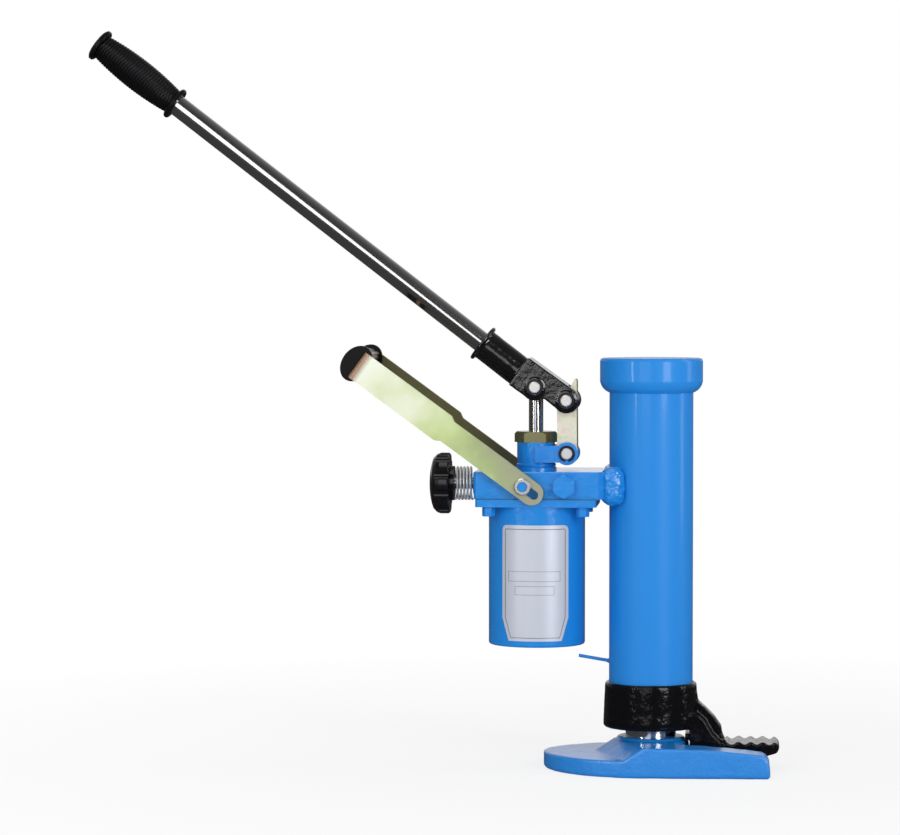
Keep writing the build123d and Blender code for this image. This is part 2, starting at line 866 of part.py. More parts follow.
def pump_piston():
    rod = rod_z(pump_x, 0, piston_bottom, piston_pin_z, piston_d / 2)
    eye_face = disc(pump_x, piston_pin_z, piston_eye_d / 2)
    eye = side_plate(eye_face, -piston_eye_half_width, piston_eye_half_width)
    slot_r = pin_d / 2 + piston_slot_play
    slot = Pos(pump_x, piston_pin_z) * SlotCenterToCenter(2 * piston_slot_travel, 2 * slot_r)
    return rod + eye - side_plate(slot, -piston_d, piston_d)


# Link: two plates between the lugs and the lever, each with a spur that stops the lever.
def link_face():
    half = link_width / 2
    face = disc(link_pin_x, link_pin_z, half) + disc(lug_pin_x, lug_pin_z, half)
    body = Polyline(
        (link_pin_x - half, link_pin_z),
        (lug_pin_x - half, lug_pin_z),
        (lug_pin_x + half, lug_pin_z),
        (link_pin_x + half, link_pin_z),
        close=True,
    )
    spur_top = link_pin_z + link_spur_height
    spur = Polyline(
        (link_pin_x + half, link_pin_z - 2),
        (link_pin_x + half, spur_top - 2),
        (link_pin_x + half - 0.6, spur_top - 0.6),
        (link_pin_x + half - 2.2, spur_top - 0.6),
        (link_pin_x + 1.5, link_pin_z + half - 1),
        close=True,
    )
    face += make_face(body)
    face += make_face(spur)
    hole_r = pin_d / 2 + running
    return face - disc(link_pin_x, link_pin_z, hole_r) - disc(lug_pin_x, lug_pin_z, hole_r)


def link_front():
    return side_plate(link_face(), -link_outer, -link_inner)


def link_back():
    return side_plate(link_face(), link_inner, link_outer)


def link_spacers():
    """Sleeves on the two pins that keep the link plates apart."""
    sleeves = []
    for x, z in ((link_pin_x, link_pin_z), (lug_pin_x, lug_pin_z)):
        face = disc(x, z, pin_d / 2 + 2) - disc(x, z, pin_d / 2 + running)
        sleeves.append(side_plate(face, -link_inner, link_inner))
    return Part() + sleeves


# Lever casting: two cheeks, a web on top, an end wall and the socket for the handle.
def lever_outline():
    end_r = cheek_round_d / 2
    slope = math.radians(90 - lever_top_slope)
    tangent = (link_pin_x + end_r * math.cos(slope), link_pin_z + end_r * math.sin(slope))
    under_pin = (link_pin_x - 0.55 * end_r, link_pin_z - 0.8 * end_r)
    face = make_face(
        Polyline(
            lever_top_left,
            lever_bottom_left,
            lever_bump_left,
            lever_bump_right,
            under_pin,
            (link_pin_x, link_pin_z),
            tangent,
            close=True,
        )
    )
    return face + disc(link_pin_x, link_pin_z, end_r) + disc(pump_x, piston_pin_z, piston_bump_d / 2)


def lever_pocket():
    """Space between the cheeks, open downwards and at the link."""
    along = Vector(link_pin_x - socket_root_x, link_pin_z - socket_root_z).normalized()
    down = Vector(along.Y, -along.X)
    start = Vector(*lever_top_left)
    corner = start + along * lever_wall + down * web_thickness
    web_end = start + along * web_length
    beyond = 2 * cheek_round_d
    points = [
        corner,
        web_end + down * web_thickness,
        web_end - down * web_thickness,
        Vector(link_pin_x + beyond, link_pin_z + cheek_round_d),
        Vector(link_pin_x + beyond, link_pin_z - beyond),
        corner + down * 60,
    ]
    return make_face(Polyline(*[(p.X, p.Y) for p in points], close=True))


def along_handle(distance):
    """Point on the handle's axis, measured outwards from the socket root."""
    x = socket_root_x + handle_direction[0] * distance
    z = socket_root_z + handle_direction[1] * distance
    return Vector(x, 0, z)


def on_handle(distance):
    """Plane across the handle's axis with its normal pointing outwards."""
    outwards = (handle_direction[0], 0, handle_direction[1])
    return Plane(origin=along_handle(distance), x_dir=(0, 1, 0), z_dir=outwards)


def handle_turned(outline):
    """Body turned about the handle's axis, from radius and distance along it."""
    return on_handle(0) * revolve(Plane.XZ * make_face(outline), Axis.Z)


def lever_casting():
    casting = side_plate(lever_outline(), -cheek_outer, cheek_outer)
    casting -= side_plate(lever_pocket(), -cheek_inner, cheek_inner)
    for x, z in ((link_pin_x, link_pin_z), (pump_x, piston_pin_z)):
        casting += both_sides(side_plate(disc(x, z, cheek_boss_d / 2), cheek_outer, cheek_boss_outer))
    outer_r = socket_d / 2
    flare_r = socket_flare_d / 2
    flare_start = socket_length - socket_flare_length
    flare_middle = (outer_r + 0.27 * (flare_r - outer_r), flare_start + 0.48 * socket_flare_length)
    flare_end = (flare_r, socket_length - socket_rim)
    flare = ThreePointArc((outer_r, flare_start), flare_middle, flare_end)
    rest = Polyline(
        flare_end,
        (flare_r - socket_rim / 4, socket_length),
        (0, socket_length),
        (0, -socket_back),
        (outer_r, -socket_back),
        (outer_r, flare_start),
    )
    casting += handle_turned(Curve() + [flare, rest])
    casting -= side_plate(lever_pocket(), -cheek_inner, cheek_inner)
    bottom = socket_length - socket_depth - seat_gap
    casting -= on_handle(bottom) * rod_z(0, 0, 0, socket_length, handle_d / 2 + 2 * running)
    for x, z in ((link_pin_x, link_pin_z), (pump_x, piston_pin_z)):
        casting -= rod_y(x, -2 * cheek_outer, 2 * cheek_outer, z, pin_d / 2)
    return casting


def lug_pin():
    return grooved_pin(lug_pin_x, lug_pin_z, lug_outer)


def lug_pin_circlips():
    return Part() + [circlip(lug_pin_x, lug_pin_z, side * lug_outer, side) for side in (-1, 1)]


def link_pin():
    return grooved_pin(link_pin_x, link_pin_z, cheek_boss_outer)


def piston_pin():
    return grooved_pin(pump_x, piston_pin_z, cheek_boss_outer)


def lever_pin_circlips():
    clips = []
    for x, z in ((link_pin_x, link_pin_z), (pump_x, piston_pin_z)):
        clips += [circlip(x, z, side * cheek_boss_outer, side) for side in (-1, 1)]
    return Part() + clips


# Handle: a chromed tube that slides into the socket, with a ribbed rubber grip.
def handle_tube():
    start = socket_length - socket_depth
    length = handle_reach - grip_end_wall - start
    tube = rod_z(0, 0, 0, length, handle_d / 2) - rod_z(0, 0, -1, length + 1, handle_bore_d / 2)
    return on_handle(start) * tube


def grip_radius(share):
    """Barrel radius at a share of its length: slim at both ends and full in the middle."""
    bulge = math.sin(math.pi * share) ** 0.8
    return (grip_neck_d + (grip_middle_d - grip_neck_d) * bulge) / 2


def handle_grip():
    start = handle_reach - grip_length
    barrel_start = start + grip_flange_length
    barrel_end = handle_reach - grip_flange_length - grip_edge
    flange_r = grip_flange_d / 2
    outline = [
        (0, handle_reach - grip_end_wall),
        (handle_d / 2, handle_reach - grip_end_wall),
        (handle_d / 2, start),
        (flange_r - grip_edge, start),
        (flange_r, start + grip_edge),
        (flange_r, barrel_start - grip_edge),
        (flange_r - grip_edge, barrel_start),
    ]
    pitch = (barrel_end - barrel_start) / grip_ribs
    for rib in range(grip_ribs):
        radius = grip_radius((rib + 0.5) / grip_ribs)
        outline.append((radius - grip_rib_depth, barrel_start + rib * pitch))
        outline.append((radius, barrel_start + (rib + 0.35) * pitch))
        outline.append((radius, barrel_start + (rib + 0.75) * pitch))
    outline += [
        (grip_neck_d / 2 - grip_rib_depth, barrel_end),
        (flange_r - grip_edge, barrel_end),
        (flange_r, barrel_end + grip_edge),
        (flange_r, handle_reach - 1.5 * grip_edge),
        (flange_r - 2 * grip_edge, handle_reach),
        (0, handle_reach),
    ]
    return handle_turned(Polyline(*outline, close=True))


# Release valve: fluted knob, spindle with ball, and the spring that turns the knob back.
def release_knob():
    radius = knob_d / 2
    length = knob_inner_x - knob_outer_x
    flute_r = knob_flute_d / 2
    plan = Circle(radius)
    for place in PolarLocations(radius + 0.35 * flute_r, knob_lobes):
        plan -= place * Circle(flute_r)
    star = extrude(plan, length)
    shoulder = (radius - 4.5, length - knob_dome)
    dome = ThreePointArc((0, length), (0.55 * radius, length - 0.3 * knob_dome), shoulder)
    sides = Polyline(
        shoulder,
        (radius - knob_edge, length - 2 * knob_dome),
        (radius, length - 3 * knob_dome),
        (radius, knob_edge),
        (radius - knob_edge, 0),
        (0, 0),
        (0, length),
    )
    knob = star & revolve(Plane.XZ * make_face(Curve() + [dome, sides]), Axis.Z)
    knob += rod_z(0, 0, -knob_hub_length, 0, knob_hub_d / 2)
    knob -= rod_z(0, 0, -knob_hub_length - 1, knob_bore_depth, spindle_d / 2)
    return Pos(knob_inner_x, 0, release_z) * Rot(0, -90, 0) * knob


def release_spindle():
    tip_x = release_ball_x() - release_ball_d / 2 - seat_gap
    spindle = rod_x(knob_inner_x - knob_bore_depth, tip_x, 0, release_z, spindle_d / 2)
    return chamfer(spindle.edges().group_by(Axis.X)[-1], spindle_tip_chamfer)


def release_ball_x():
    return release_seat_x - ball_seat_height(release_ball_d, relief_drilling_d)


def release_ball():
    return Pos(release_ball_x(), 0, release_z) * Sphere(release_ball_d / 2)


def knob_spring():
    wire_r = spring_wire_d / 2
    start = knob_inner_x + knob_hub_length + seat_gap + wire_r
    end = block_left - release_boss_length - wire_r
    radius = spring_outer_d / 2 - wire_r
    spring = coil(radius, wire_r, (end - start) / spring_turns, spring_turns)
    return Pos(start, 0, release_z) * Rot(0, 90, 0) * spring


# Carrying strap: a U of flat bar on two studs, with slotted ends and a rubber grip.
def strap_frame():
    """Plane of the strap's side view: local X outwards along the arm, local Y across it."""
    angle = math.radians(strap_angle)
    outwards = (-math.cos(angle), 0, math.sin(angle))
    return Plane(origin=(strap_stud_x, 0, strap_stud_z), x_dir=outwards, z_dir=(0, 1, 0))


def strap_face():
    wide = strap_wide / 2
    narrow = strap_narrow / 2
    half = [
        (strap_end_x, narrow),
        (strap_step_start, narrow),
        (strap_step_end, wide),
        (strap_reach, wide),
    ]
    mirrored = [(x, -y) for x, y in reversed(half)]
    face = make_face(Polyline(*half, *mirrored, close=True))
    face += Pos(strap_end_x, 0) * Circle(narrow)
    slot_r = bush_barrel_d / 2 + running
    return face - Pos(-strap_slot_travel / 2, 0) * SlotCenterToCenter(strap_slot_travel, 2 * slot_r)


def carry_strap():
    arms = extrude(strap_frame() * strap_face(), strap_outer, both=True)
    hollow = Pos(-strap_thickness, 0) * Rectangle(2 * strap_reach, 3 * strap_wide)
    arms -= extrude(strap_frame() * hollow, strap_inner, both=True)
    far = strap_frame().from_local_coords(Vector(strap_reach, 0, 0))
    bends = arms.edges().filter_by(lambda e: (e.center() - far).length < strap_outer + 1)
    bends = bends.filter_by(lambda e: e.length > 0.9 * strap_wide and abs(e.center().Y) > strap_outer - 1)
    return fillet(bends, strap_thickness)


def strap_grip():
    centre = strap_reach - strap_thickness / 2
    long_r = grip_oval_long / 2
    short_r = grip_oval_short / 2
    middle = Pos(centre + grip_offset, 0)
    core = Ellipse(short_r * grip_body_share, long_r * grip_body_share)
    body = extrude(strap_frame() * middle * core, grip_half_length, both=True)
    flange = strap_frame() * middle * Ellipse(short_r, long_r)
    whole = extrude(flange, grip_half_length, both=True)
    whole -= extrude(flange, grip_half_length - grip_oval_flange, both=True)
    bar = strap_frame() * Pos(centre, 0) * Rectangle(strap_thickness, strap_wide)
    return body + whole - extrude(bar, 2 * grip_half_length, both=True)


def strap_studs():
    bush_end = strap_outer + side_play + bush_flange_thickness
    studs = []
    for side in (-1, 1):
        edges = sorted((side * (block_half_width - stud_root_depth), side * (bush_end + side_play)))
        stud = rod_y(strap_stud_x, edges[0], edges[1], strap_stud_z, stud_d / 2)
        tip = sorted((side * (bush_end + side_play), side * (bush_end + side_play + stud_tip_length)))
        stud += rod_y(strap_stud_x, tip[0], tip[1], strap_stud_z, stud_head_d / 2)
        studs.append(stud)
    return Part() + studs


def stud_sleeve(y_low, y_high, outer_r):
    """Ring on the front stud between two depths."""
    hole = disc(strap_stud_x, strap_stud_z, stud_d / 2 + running)
    return side_plate(disc(strap_stud_x, strap_stud_z, outer_r) - hole, y_low, y_high)


def strap_bushes():
    flange_low = strap_outer + side_play
    bush = stud_sleeve(flange_low, flange_low + bush_flange_thickness, bush_flange_d / 2)
    bush = chamfer(bush.edges().filter_by(GeomType.CIRCLE).group_by(Axis.Y)[-1], bush_chamfer)
    bush += stud_sleeve(strap_inner, flange_low, bush_barrel_d / 2)
    return both_sides(bush)


def strap_spacers():
    return both_sides(stud_sleeve(block_half_width + seat_gap, strap_inner - seat_gap, spacer_d / 2))


# Thin pin welded to the tube's foot: the handle is stored against it.
def handle_rest_pin():
    root_x = -tube_r
    rise = math.atan2(rest_tip_z - rest_root_z, root_x - rest_tip_x)
    direction = Vector(-math.cos(rise), 0, math.sin(rise))
    length = math.hypot(rest_tip_z - rest_root_z, root_x - rest_tip_x)
    along_pin = Plane(origin=(root_x, 0, rest_root_z), z_dir=direction)
    rod = rod_z(0, 0, -rest_root_depth, length, rest_pin_d / 2)
    bead = Cone(rest_pin_d, rest_pin_d / 2, rest_weld_length)
    return along_pin * (rod + bead) - rod_z(0, 0, 0, head_height, tube_r)


NODES = [
    base_foot, ram, ram_circlip, ram_guide_ring,
    cylinder_tube, head_cap, toe_collar, toe_retaining_ring,
    wiper_ring, guide_bush, ram_seal, stop_ring,
    pump_block, weld_bead, reservoir_gasket, reservoir_flange, reservoir_cup, flange_bolts,
    suction_tube, suction_strainer, suction_ball,
    delivery_ball, delivery_spring, hex_plug,
    pump_barrel, pump_seal, gland_nut, pump_piston,
    link_front, link_back, link_spacers, lug_pin, lug_pin_circlips,
    lever_casting, link_pin, piston_pin, lever_pin_circlips,
    handle_tube, handle_grip,
    release_knob, release_spindle, release_ball, knob_spring,
    carry_strap, strap_grip, strap_studs, strap_bushes, strap_spacers,
    handle_rest_pin,
]

os.makedirs("parts", exist_ok=True)
for make_node in NODES:
    export_step(make_node(), f"parts/{make_node.__name__}.step")
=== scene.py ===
import json
import math

import bmesh
import bpy
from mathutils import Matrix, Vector

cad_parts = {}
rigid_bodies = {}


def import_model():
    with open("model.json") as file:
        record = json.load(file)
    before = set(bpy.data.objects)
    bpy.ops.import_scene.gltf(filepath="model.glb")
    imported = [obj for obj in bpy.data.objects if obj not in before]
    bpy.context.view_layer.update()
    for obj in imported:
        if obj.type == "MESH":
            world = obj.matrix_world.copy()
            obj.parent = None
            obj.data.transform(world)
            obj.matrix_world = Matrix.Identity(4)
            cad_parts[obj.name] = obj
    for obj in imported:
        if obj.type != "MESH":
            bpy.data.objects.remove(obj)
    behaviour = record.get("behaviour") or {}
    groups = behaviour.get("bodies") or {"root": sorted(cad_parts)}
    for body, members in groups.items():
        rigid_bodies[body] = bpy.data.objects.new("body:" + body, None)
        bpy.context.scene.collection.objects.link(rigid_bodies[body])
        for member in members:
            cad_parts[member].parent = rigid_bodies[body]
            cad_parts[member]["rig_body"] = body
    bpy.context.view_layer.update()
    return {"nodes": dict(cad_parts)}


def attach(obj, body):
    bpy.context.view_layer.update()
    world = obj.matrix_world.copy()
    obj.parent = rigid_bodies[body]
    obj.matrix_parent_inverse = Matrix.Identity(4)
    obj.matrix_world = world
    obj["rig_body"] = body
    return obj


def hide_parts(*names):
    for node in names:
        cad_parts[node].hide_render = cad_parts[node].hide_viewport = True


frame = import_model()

nodes = frame["nodes"]


# Base foot: an iron casting that carries the ram and stands on the floor. Its edges are
# rounded by the mould, and the blue enamel lies thick over a grainy cast skin.
ENAMEL_BLUE = (0.010, 0.240, 0.720, 1.0)
SAME_POINT = 1e-6


def new_material(name, colour, roughness, metallic=0.0):
    """A material with one Principled shader."""
    material = bpy.data.materials.new(name)
    material.use_nodes = True
    shader = material.node_tree.nodes["Principled BSDF"]
    shader.inputs["Base Color"].default_value = colour
    shader.inputs["Roughness"].default_value = roughness
    shader.inputs["Metallic"].default_value = metallic
    return material, shader


def object_noise(material, waves, detail):
    """Noise in the piece's own coordinates, with so many waves per metre."""
    tree = material.node_tree
    place = tree.nodes.new("ShaderNodeTexCoord")
    noise = tree.nodes.new("ShaderNodeTexNoise")
    noise.inputs["Scale"].default_value = waves
    noise.inputs["Detail"].default_value = detail
    tree.links.new(place.outputs["Object"], noise.inputs["Vector"])
    return noise.outputs["Fac"]


def add_bumps(material, shader, layers):
    """Roughens a surface by layers of (waves per metre, detail, height in metres)."""
    tree = material.node_tree
    surface = None
    for waves, detail, height in layers:
        bump = tree.nodes.new("ShaderNodeBump")
        bump.inputs["Strength"].default_value = 1.0
        bump.inputs["Distance"].default_value = height
        tree.links.new(object_noise(material, waves, detail), bump.inputs["Height"])
        if surface:
            tree.links.new(surface, bump.inputs["Normal"])
        surface = bump.outputs["Normal"]
    tree.links.new(surface, shader.inputs["Normal"])


def enamel(name, colour, layers, roughness, coat=0.6, coat_roughness=0.08, mirror=0.5):
    """Gloss enamel over a surface with layers of bumps."""
    material, shader = new_material(name, colour, roughness)
    shader.inputs["Specular IOR Level"].default_value = mirror
    shader.inputs["Coat Weight"].default_value = coat
    shader.inputs["Coat Roughness"].default_value = coat_roughness
    add_bumps(material, shader, layers)
    return material


def paint(material, *names):
    """Gives CAD nodes one material."""
    for name in names:
        nodes[name].data.materials.clear()
        nodes[name].data.materials.append(material)


def cast_copy(name, grid, rounding, lumps, lump_size):
    """Copy of a CAD node with mould-rounded edges and a slightly lumpy skin, standing for it."""
    mesh = nodes[name].data.copy()
    shape = bmesh.new()
    shape.from_mesh(mesh)
    bmesh.ops.remove_doubles(shape, verts=shape.verts, dist=SAME_POINT)
    shape.to_mesh(mesh)
    shape.free()
    casting = bpy.data.objects.new(name + "_skin", mesh)
    bpy.context.scene.collection.objects.link(casting)
    remesh = casting.modifiers.new("grid", "REMESH")
    remesh.mode = "VOXEL"
    remesh.voxel_size = grid
    remesh.use_smooth_shade = True
    smooth = casting.modifiers.new("rounding", "SMOOTH")
    smooth.factor = 0.5
    smooth.iterations = rounding
    skin = bpy.data.textures.new(name + "_skin", "CLOUDS")
    skin.noise_scale = lump_size
    skin.noise_depth = 2
    displace = casting.modifiers.new("skin", "DISPLACE")
    displace.texture = skin
    displace.texture_coords = "LOCAL"
    displace.strength = lumps
    displace.mid_level = 0.5
    casting.data.materials.clear()
    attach(casting, nodes[name]["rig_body"])
    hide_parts(name)
    return casting


cast_enamel = enamel(
    "blue enamel on cast iron",
    ENAMEL_BLUE,
    [(60.0, 3.0, 0.0012), (420.0, 3.0, 0.0004)],
    roughness=0.36,
    coat=0.7,
    coat_roughness=0.26,
    mirror=0.6,
)
base = cast_copy("base_foot", grid=0.0011, rounding=7, lumps=0.0006, lump_size=0.012)
base.data.materials.append(cast_enamel)


# Lift ram with its circlip: hard-chromed steel, ground round and fixed upright in the base.
# The circlip at its head is blackened spring steel.
chrome, _ = new_material("ground hard chrome", (0.80, 0.80, 0.82, 1.0), 0.13, 1.0)
paint(chrome, "ram")
spring_steel, _ = new_material("blackened spring steel", (0.045, 0.045, 0.05, 1.0), 0.32, 0.9)
paint(spring_steel, "ram_circlip")


# Guide ring and gland pack inside the tube: bronze guides, seals of green and black rubber,
# and rings of blackened spring steel that stop the ram and hold the toe casting.
bronze, _ = new_material("bearing bronze", (0.60, 0.38, 0.17, 1.0), 0.30, 1.0)
paint(bronze, "ram_guide_ring", "guide_bush")
seal_rubber, _ = new_material("green seal rubber", (0.03, 0.11, 0.08, 1.0), 0.50)
paint(seal_rubber, "ram_seal")
black_rubber, rubber_shader = new_material("black rubber", (0.004, 0.004, 0.005, 1.0), 0.34)
rubber_shader.inputs["Specular IOR Level"].default_value = 0.2
add_bumps(black_rubber, rubber_shader, [(900.0, 2.0, 0.00001)])
paint(black_rubber, "wiper_ring")
paint(spring_steel, "stop_ring", "toe_retaining_ring")


# Cylinder tube and flared head: turned steel under smooth gloss enamel, with a faint
# orange peel and long shallow runs.
smooth_enamel = enamel(
    "blue enamel on turned steel",
    ENAMEL_BLUE,
    [(28.0, 1.0, 0.0004), (700.0, 1.0, 0.00005)],
    roughness=0.42,
    coat=0.32,
    coat_roughness=0.09,
    mirror=0.35,
)
paint(smooth_enamel, "cylinder_tube", "head_cap")


# Toe casting: black-enamelled steel casting round the tube's foot, with a ribbed neck and a
# low toe whose top is wavy for grip.
CAST_BLACK = (0.004, 0.004, 0.005, 1.0)
black_enamel = enamel(
    "black enamel on cast steel",
    CAST_BLACK,
    [(120.0, 2.0, 0.0005), (480.0, 2.0, 0.00010)],
    roughness=0.15,
    coat=0.0,
    mirror=0.24,
)
toe = cast_copy("toe_collar", grid=0.0009, rounding=7, lumps=0.0005, lump_size=0.008)
toe.data.materials.append(black_enamel)


# Weld bead: a lumpy fillet weld, laid by hand round the joint of pump block and tube and
# painted over with them.
weld = cast_copy("weld_bead", grid=0.0006, rounding=6, lumps=0.0026, lump_size=0.0055)
weld_enamel = enamel(
    "blue enamel on weld",
    ENAMEL_BLUE,
    [(250.0, 2.0, 0.0010), (900.0, 2.0, 0.0003)],
    roughness=0.16,
    coat=0.9,
)
weld.data.materials.append(weld_enamel)


# Pump block, reservoir, bolts, plug, barrel and the handle's rest pin: machined steel, put
# together with a rubber gasket under the block and then painted in the same blue.
machined_enamel = enamel(
    "blue enamel on machined steel",
    ENAMEL_BLUE,
    [(90.0, 2.0, 0.0007), (600.0, 2.0, 0.00010)],
    roughness=0.24,
)
paint(
    machined_enamel,
    "pump_block",
    "reservoir_flange",
    "reservoir_cup",
    "flange_bolts",
    "hex_plug",
    "pump_barrel",
    "handle_rest_pin",
)
paint(seal_rubber, "reservoir_gasket")


# Inner pump parts: suction tube and strainer, valve balls, delivery spring and release
# spindle, all of bare ground steel and fitted before the block is closed.
ground_steel, _ = new_material("ground steel", (0.56, 0.57, 0.58, 1.0), 0.24, 1.0)
paint(
    ground_steel,
    "suction_tube",
    "suction_strainer",
    "suction_ball",
    "delivery_ball",
    "delivery_spring",
    "release_spindle",
    "release_ball",
)


# Rating label: a bare silver-grey foil on the reservoir cup, with its lower corners cut off, a
# thin dark frame line and two empty boxes.
CUP_AXIS_X = -0.1025
CUP_RADIUS = 0.04325
LABEL_WIDTH = 0.0640
LABEL_LOW = 0.1168
LABEL_HIGH = 0.2200
LABEL_TURN = math.radians(1.1)
TOP_ROUND = 0.0042
ARC_MIDDLE = 0.3 * TOP_ROUND
FOOT_CUT = 0.0072
FOOT_RISE = 0.0206
FOIL = 0.00025
FOIL_LIFT = 1.1 * FOIL
INK = 0.00008
FRAME_INSET = 0.0034
FRAME_LINE = 0.0005
BOX_LINE = 0.00035
BOXES = (
    (-0.0250, 0.0232, 0.1700, 0.1790),
    (-0.0184, 0.0174, 0.1580, 0.1658),
)
STRIPS = 28


def flat_outline(shape, corners):
    """One face with its corners on X and Z, facing -Y."""
    face = shape.faces.new([shape.verts.new((x, 0.0, z)) for x, z in corners])
    face.normal_update()
    if face.normal.y > 0:
        face.normal_flip()
    return face


def hollow(shape, face, width):
    """Leaves of a face only a border of the given width."""
    bmesh.ops.inset_region(shape, faces=[face], thickness=width, use_boundary=True)
    bmesh.ops.delete(shape, geom=[face], context="FACES")


def wrap_on_cup(shape, thickness, lift):
    """Cuts a flat shape into upright strips, thickens it and bends it round the cup's front."""
    for strip in range(1, STRIPS):
        x = -LABEL_WIDTH / 2 + LABEL_WIDTH * strip / STRIPS
        everything = shape.verts[:] + shape.edges[:] + shape.faces[:]
        bmesh.ops.bisect_plane(shape, geom=everything, plane_co=(x, 0, 0), plane_no=(1, 0, 0))
    bmesh.ops.solidify(shape, geom=shape.faces[:], thickness=-thickness)
    for vertex in shape.verts:
        angle = vertex.co.x / CUP_RADIUS + LABEL_TURN
        radius = CUP_RADIUS + lift + vertex.co.y
        vertex.co.x = CUP_AXIS_X + radius * math.sin(angle)
        vertex.co.y = -radius * math.cos(angle)
    bmesh.ops.recalc_face_normals(shape, faces=shape.faces)


def fit_piece(name, shape, material, body):
    """Makes a finished shape an object that rides on a body."""
    mesh = bpy.data.meshes.new(name)
    shape.to_mesh(mesh)
    shape.free()
    mesh.materials.append(material)
    piece = bpy.data.objects.new(name, mesh)
    bpy.context.scene.collection.objects.link(piece)
    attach(piece, body)


left_side = [
    (-LABEL_WIDTH / 2 + FOOT_CUT, LABEL_LOW),
    (-LABEL_WIDTH / 2, LABEL_LOW + FOOT_RISE),
    (-LABEL_WIDTH / 2, LABEL_HIGH - TOP_ROUND),
    (-LABEL_WIDTH / 2 + ARC_MIDDLE, LABEL_HIGH - ARC_MIDDLE),
    (-LABEL_WIDTH / 2 + TOP_ROUND, LABEL_HIGH),
]
right_side = [(-x, z) for x, z in reversed(left_side)]
foil, _ = new_material("silver-grey foil", (0.66, 0.70, 0.80, 1.0), 0.38, 0.30)
label = bmesh.new()
flat_outline(label, left_side + right_side)
wrap_on_cup(label, FOIL, FOIL_LIFT)
fit_piece("rating_label", label, foil, "jack_body")

ink, _ = new_material("dark blue-grey ink", (0.045, 0.05, 0.075, 1.0), 0.45)
lines = bmesh.new()
frame_face = flat_outline(lines, left_side + right_side)
bmesh.ops.inset_region(lines, faces=[frame_face], thickness=FRAME_INSET, use_boundary=True)
outside = [face for face in lines.faces if face is not frame_face]
bmesh.ops.delete(lines, geom=outside, context="FACES")
hollow(lines, frame_face, FRAME_LINE)
for low_x, high_x, low_z, high_z in BOXES:
    box_corners = [(low_x, low_z), (high_x, low_z), (high_x, high_z), (low_x, high_z)]
    hollow(lines, flat_outline(lines, box_corners), BOX_LINE)
wrap_on_cup(lines, INK, FOIL_LIFT + INK)
fit_piece("label_lines", lines, ink, "jack_body")


# Gland nut: a zinc-plated hexagon, passivated a dark olive yellow. It is screwed on the
# barrel and holds the pump's rubber seal.
olive_zinc, _ = new_material("olive passivated zinc", (0.30, 0.29, 0.15, 1.0), 0.24, 0.8)
paint(olive_zinc, "gland_nut")
paint(seal_rubber, "pump_seal")


# Pump piston: a chromed rod that slides in the gland nut. The slotted eye at its top takes
# the lever's pin.
paint(chrome, "pump_piston")


# Link plates and spacers: two sheared steel plates with yellow-passivated zinc, blotched pink
# and green, held apart by bright zinc spacers. Their sheared edges and inner faces are
# painted darker, as painted shade.
MIX_SHARE = 0
MIX_FIRST = 6
MIX_SECOND = 7
MIX_RESULT = 2
NOISE_SPAN = (0.3, 0.7)
TINT_WANDER = 0.2
# How far a face must turn out from the middle plane before the painted shade leaves it.
PAINTED_SHADE_FACING = (0.2, 0.95)
PLATE_GRAIN = [(500.0, 3.0, 0.00006)]
ZINC_GRAIN = [(800.0, 2.0, 0.00003)]


def distance_along(tree, direction):
    """How far a point of the piece lies along a vector."""
    place = tree.nodes.new("ShaderNodeTexCoord")
    along = tree.nodes.new("ShaderNodeVectorMath")
    along.operation = "DOT_PRODUCT"
    along.inputs[1].default_value = direction
    tree.links.new(place.outputs["Object"], along.inputs[0])
    return along.outputs["Value"]


def rescale(tree, value, old, new=(0.0, 1.0), clamp=True):
    """Turns one span of a value into another."""
    change = tree.nodes.new("ShaderNodeMapRange")
    change.clamp = clamp
    change.inputs["From Min"].default_value = old[0]
    change.inputs["From Max"].default_value = old[1]
    change.inputs["To Min"].default_value = new[0]
    change.inputs["To Max"].default_value = new[1]
    tree.links.new(value, change.inputs["Value"])
    return change.outputs["Result"]


def reckon(tree, operation, *values):
    """One arithmetic step on one or two values."""
    step = tree.nodes.new("ShaderNodeMath")
    step.operation = operation
    for number, value in enumerate(values):
        tree.links.new(value, step.inputs[number])
    return step.outputs[0]


def cover_tint(tree, share, under, over):
    """A plain colour, covered by another tint as far as the share goes."""
    mix = tree.nodes.new("ShaderNodeMix")
    mix.data_type = "RGBA"
    mix.inputs[MIX_FIRST].default_value = under
    tree.links.new(share, mix.inputs[MIX_SHARE])
    tree.links.new(over, mix.inputs[MIX_SECOND])
    return mix.outputs[MIX_RESULT]


def colour_ramp(tree, value, stops):
    """A colour read off a list of (position, colour) that goes from 0 to 1."""
    ramp = tree.nodes.new("ShaderNodeValToRGB")
    ramp.color_ramp.elements[0].color = stops[0][1]
    ramp.color_ramp.elements[1].color = stops[-1][1]
    for position, colour in stops[1:-1]:
        ramp.color_ramp.elements.new(position).color = colour
    tree.links.new(value, ramp.inputs["Fac"])
    return ramp.outputs["Color"]


